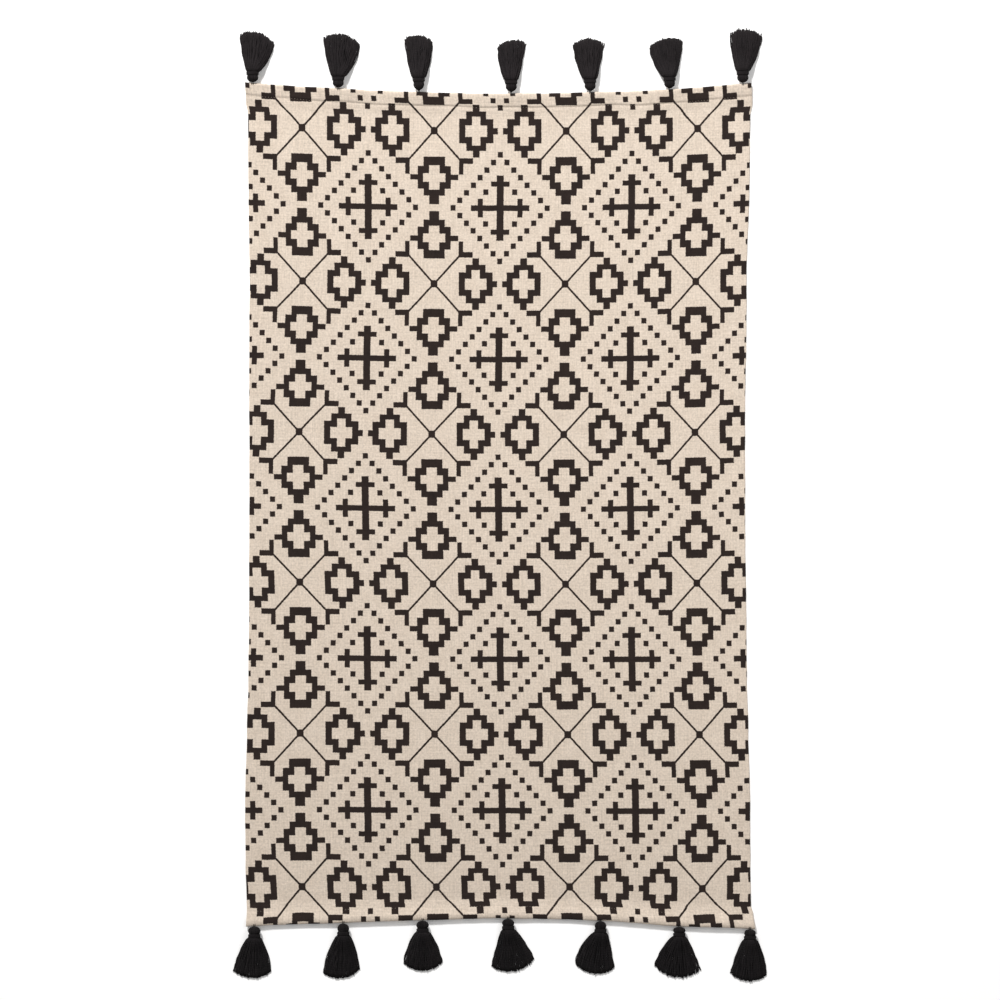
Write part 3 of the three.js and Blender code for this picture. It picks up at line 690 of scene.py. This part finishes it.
def headParts(tassel, rng):
    # The head: strands that run from the tie over the ball to the neck, each a tube beside the next, on a
    # core. A strand's radius is radius · (thinStart + s), and at most radius · thickest.
    s = np.concatenate([np.linspace(yarn["headStart"], 1, yarn["headRings"]), yarn["underWinding"]])
    radius = headRadiusAt(np.minimum(s, 1), tassel)
    y = tassel["tie"] + s * tassel["head"]
    count, off = yarn["headStrands"], yarn["headScatter"]
    turn = (np.arange(count) + rng.uniform(-off, off, count)) * 2 * np.pi / count
    turn = turn[:, None]
    lean = turn + rng.normal(0, yarn["headLean"], turn.shape) * s
    path = aroundAxis(np.maximum(radius - yarn["radius"], yarn["headLeast"]), lean, y)
    beside = np.stack([-np.sin(lean), 0 * lean, np.cos(lean)], -1)
    thick = yarn["radius"] * np.minimum(yarn["thickest"], yarn["thinStart"] + s)
    strands = tubes(path, thick, beside, yarn["sides"], rng.uniform(0, 1, count))
    coreY = np.concatenate([y, [tassel["tie"] + tassel["head"] + yarn["neckLength"] + 1]])
    coreRadius = np.append(radius, yarn["rootRadius"]) - yarn["coreInset"]
    coreRadius = np.maximum(coreRadius, yarn["coreLeast"])
    core = aroundAxis(0 * coreY, 0, coreY)[None]
    return [strands, tubes(core, coreRadius, (1.0, 0.0, 0.0), yarn["coreSides"], yarn["coreTone"])]


def tiePart(tassel, hemTop):
    # The tie: two ends of yarn side by side, from inside the head over the hem's fold and down into the
    # cloth. hemTop is the cloth's height above the floor where they go in.
    start, *outside = tie["outside"]
    along = np.array([start + tassel["tie"], *outside, *(-share * tie["into"] for share in tie["inside"])])
    middle, over = (yarn["axisHeight"] + hemTop) / 2, hemTop + tie["rise"]
    height = np.array([yarn["axisHeight"], middle, middle, over, over, hemTop - tie["depth"]])
    across = np.array([[-1.0], [1.0]]) * tie["apart"] * np.array(tie["spread"])
    path = np.stack(np.broadcast_arrays(across, along, height), 2)
    return tubes(path, tie["radius"], (1.0, 0.0, 0.0), tie["sides"], tie["tone"])


def skirtPart(tassel, rng):
    # The skirt: strands in layers from the floor up. A strand has a share a across (-1 to 1) and b upwards
    # (0 to 1). Its root is that place in the neck's round section. Its tip lies at its own angle in the
    # fan, in a pile that is lower at the sides. Across, it goes from one to the other by
    # k + bell · k · (1 - k), and it drops from the neck onto the pile by 3t² - 2t³.
    across, up = [], []
    layers, off = len(yarn["layers"]), yarn["layerScatter"]
    for layer, (count, width) in enumerate(zip(yarn["layers"], yarn["layerWidth"])):
        share = (2 * np.arange(count) + 1) / count - 1
        across.append(share * width + rng.normal(0, yarn["sideScatter"], count))
        up.append(np.clip((layer + rng.uniform(-off, off, count)) / (layers - 1), 0, 1))
    a, b = np.concatenate(across)[:, None], np.concatenate(up)[:, None]
    b = np.where(b < 0.5 / (layers - 1), 0, b)  # the lowest layer lies flat on the floor
    k = np.linspace(0, 1, yarn["rings"])[None]
    edge = np.clip(a, -1, 1)
    angle = np.radians((tassel["right"] - tassel["left"]) / 2 + a * (tassel["right"] + tassel["left"]) / 2)
    length = tassel["skirt"] * (1 + yarn["middleLonger"] * (1 - edge ** 2) + tassel["longer"] * edge
                                + rng.normal(0, tassel["uneven"], a.shape))
    neckEnd = tassel["tie"] + tassel["head"] + yarn["neckLength"]
    # A square of shares turned into a round section: a · sqrt(1 - c² / 2) and c · sqrt(1 - a² / 2).
    c = 2 * b - 1
    section = yarn["rootRadius"] * (1 + yarn["shoulder"] * ease(k, *yarn["shoulderRun"]))
    rootX = yarn["wider"] * section * edge * np.sqrt(1 - c ** 2 / 2)
    lowest = yarn["bedHeight"] * yarn["radius"]
    rootZ = yarn["axisHeight"] + yarn["headTop"] * section * c * np.sqrt(1 - edge ** 2 / 2)
    rootZ = np.maximum(rootZ, lowest)
    bell = tassel["bellLeft"] + (tassel["bellRight"] - tassel["bellLeft"]) * (1 + edge) / 2
    spread = k + bell * k * (1 - k)
    wave = np.sin(2 * np.pi * (k * rng.uniform(*yarn["waves"], a.shape) + rng.uniform(0, 1, a.shape)))
    x = rootX * (1 - spread) + np.sin(angle) * length * spread + yarn["wobble"] * wave * k
    y = neckEnd - yarn["start"] + (np.cos(angle) * length + yarn["start"]) * k
    pile = ((yarn["pile"] + (yarn["tipPile"] - yarn["pile"]) * k ** yarn["pileFall"])
            * np.sqrt(1 - yarn["pileRound"] * edge ** 2))
    lifted = yarn["lift"] * (b > 0) * (1 + wave) * np.sin(np.pi * k)
    bed = lowest + b * np.maximum(pile - lowest - yarn["radius"], 0) + lifted
    z = rootZ + (bed - rootZ) * ease(k, 0, yarn["droop"])
    path = np.stack(np.broadcast_arrays(x, y, z), 2)
    radius = yarn["radius"] * (1 + yarn["tipThicker"] * ease(k, yarn["tipFrom"], 1))
    radius = radius * rng.uniform(*yarn["thickness"], a.shape)
    return tubes(path, radius, (1.0, 0.0, 0.0), yarn["sides"], rng.uniform(0, 1, len(a)))


def windingPart(tassel):
    # The thread wound round the neck: a helix, whose turns lie side by side, tucked in at both ends.
    start = tassel["tie"] + tassel["head"] + yarn["clearance"] + winding["radius"]
    end = tassel["tie"] + tassel["head"] + yarn["neckLength"] - yarn["clearance"] - winding["radius"]
    t = np.linspace(0, 1, winding["turns"] * winding["steps"] + 1)
    out = ease(t, 0, winding["tuck"]) * ease(1 - t, 0, winding["tuck"])
    radius = winding["inner"] + winding["radius"] * (2 * out - 1)
    turn = 2 * np.pi * winding["turns"] * t + winding["startTurn"]
    path = aroundAxis(radius, turn, start + (end - start) * t)[None]
    return tubes(path, winding["radius"] * winding["fatter"], (0.0, 1.0, 0.0), winding["sides"])


def makeTassels(yarnMaterial, windingMaterial):
    # Each tassel is worked out facing outwards along +Y from the hem's edge, then put in its place. The
    # front ones are turned half round, which swaps their sides.
    made = []
    for end, sign in (("back", 1), ("front", -1)):
        for number, tassel in enumerate(tassels[end], 1):
            rng = np.random.default_rng(100 * (sign + 2) + number)
            facing = {**tassel, "uneven": yarn["uneven"][end]}
            if sign < 0:
                facing.update(left=tassel["right"], right=tassel["left"], longer=-tassel["longer"],
                              bellLeft=tassel["bellRight"], bellRight=tassel["bellLeft"])
            hemX, hemY = placeOnFloor(tassel["at"], sign * cloth["length"] / 2)
            hemTop = clothHeights(tassel["at"], np.array(sign * (cloth["length"] / 2 - tie["into"])))[1]
            strands = headParts(facing, rng) + [skirtPart(facing, rng), tiePart(facing, hemTop)]
            for name, parts, material, slotName, node in (
                ("yarnTassel", strands, yarnMaterial, "black_yarn", "tassel"),
                ("woundThread", [windingPart(facing)], windingMaterial, "binding_thread", "binding"),
            ):
                for part in parts:
                    part["points"] = part["points"] * (sign, sign, 1) + (hemX, hemY, 0)
                    # Each strand's tone spreads at random, and the back tassels' yarn and winding are
                    # painted paler, as painted light.
                    part["tone"] = part["tone"] * yarn["toneSpread"] + yarn["paintedLight"][end]
                made.append(makePiece(f"{name}_{end}_{number}", parts, material, "yarn",
                                      (f"{node}_{end}_{number}",)))
    return made


# The studio. Each light has its place and its size in metres, and its power in watts, and floorSize and
# clipEnd are in metres too.
studio = {
    "millimetresPerPixel": 1.805, "framePixels": 1000, "rugMiddlePixel": (499, 507),
    "lens": 100, "sensor": 36, "clipEnd": 100,
    "lights": {"keyLight": ((-1.95, 5.3, 4.6), 0.9, 600), "fillLight": ((1.0, 0.3, 1.6), 1.0, 7.5)},
    "worldStrength": 0.27, "floorSize": 30, "floorDrop": 0.4, "floorColour": "#fffefd", "floorGlow": 0.12,
}


def makeStudio():
    scene = bpy.context.scene
    scene.view_settings.view_transform = "Standard"
    # The camera looks straight down, at the distance where the frame takes in the photo's width of floor.
    frameWidth = studio["framePixels"] * studio["millimetresPerPixel"] * mm
    across, down = studio["rugMiddlePixel"]
    half = studio["framePixels"] / 2
    camera = bpy.data.objects.new("camera", bpy.data.cameras.new("camera"))
    camera.data.lens, camera.data.sensor_width = studio["lens"], studio["sensor"]
    camera.location = ((half - across) * studio["millimetresPerPixel"] * mm,
                       (down - half) * studio["millimetresPerPixel"] * mm,
                       frameWidth * studio["lens"] / studio["sensor"] + cloth["thickness"] * mm)
    camera.data.clip_end = studio["clipEnd"]
    scene.collection.objects.link(camera)
    scene.camera = camera

    for name, (place, size, power) in studio["lights"].items():
        light = bpy.data.objects.new(name, bpy.data.lights.new(name, "AREA"))
        light.data.energy, light.data.size = power, size
        light.location = place
        light.rotation_euler = (-light.location).to_track_quat("-Z", "Y").to_euler()
        scene.collection.objects.link(light)

    world = bpy.data.worlds.new("studioWorld")
    world.use_nodes = True
    background = world.node_tree.nodes["Background"]
    background.inputs["Color"].default_value = (1, 1, 1, 1)
    background.inputs["Strength"].default_value = studio["worldStrength"]
    scene.world = world

    # Seamless white paper: matt, with a little glow of its own, so that it stays white to the frame's edge.
    material, tree, output = newMaterial("seamless studio paper")
    shader = addNode(tree, "ShaderNodeBsdfPrincipled", inputs={
        "Base Color": hexColour(studio["floorColour"]), "Roughness": 0.9, "Specular IOR Level": 0.1,
        "Emission Color": (1, 1, 1, 1), "Emission Strength": studio["floorGlow"]})
    tree.links.new(shader.outputs[0], output.inputs["Surface"])
    reach = studio["floorSize"] / 2
    height = -studio["floorDrop"] * mm
    points = [(x * reach, y * reach, height) for x, y in ((-1, -1), (1, -1), (1, 1), (-1, 1))]
    mesh = bpy.data.meshes.new("studioFloor")
    mesh.from_pydata(points, [], [(0, 1, 2, 3)])
    mesh.materials.append(material)
    floor = bpy.data.objects.new("studioFloor", mesh)
    scene.collection.objects.link(floor)


makeStudio()
print("studio: camera straight above, soft light from the upper left")
rug = makeCloth(printedCotton())
print("cloth:", len(rug.data.polygons), "faces")
stitches = makeHemStitches(sewnThread())
print("hem stitches:", sum(len(piece.data.polygons) for piece in stitches), "faces")
tasselPieces = makeTassels(twistedYarn("twisted cotton yarn, dyed black", yarn),
                           twistedYarn("wound cotton thread, dyed black", winding))
print("tassels:", sum(len(piece.data.polygons) for piece in tasselPieces), "faces")
